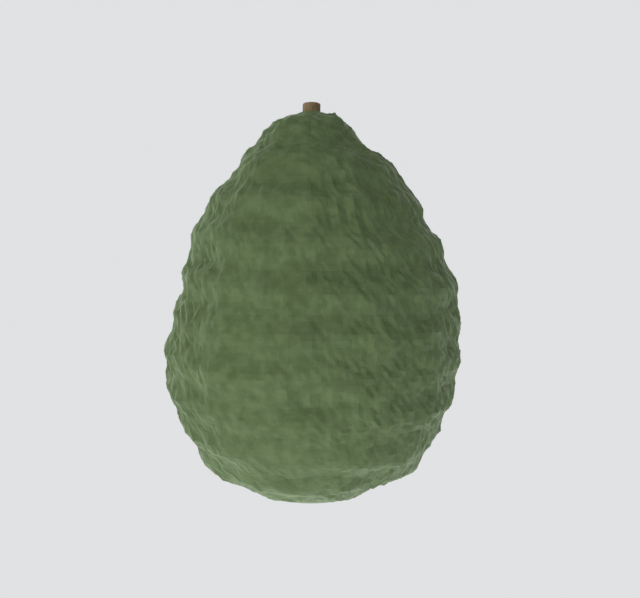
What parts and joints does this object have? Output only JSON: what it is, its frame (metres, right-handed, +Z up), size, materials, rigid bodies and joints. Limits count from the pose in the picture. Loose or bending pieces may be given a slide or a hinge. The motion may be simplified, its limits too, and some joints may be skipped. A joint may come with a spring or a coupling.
{
  "type": "avocado",
  "caption": "Whole unpeeled avocado with rippled, pebbled green skin and a short cut stem, standing on a small flat spot at its broad end.",
  "frame": {"origin": "centre of the small flat spot at the bottom of the fruit, on the surface that it stands on", "axes": "+Z up along the fruit towards the stem, -Y towards the front that the picture shows, +X to the picture's right"},
  "size_m": [0.077, 0.0766, 0.1022],
  "materials": {
    "skin": "olive-green avocado skin, finely pebbled and faintly waxy",
    "stem_bark": "dry brown bark and end grain, matt"
  },
  "bodies": {
    "root": {"fruit": "skin", "stem": "stem_bark"}
  },
  "joints": []
}
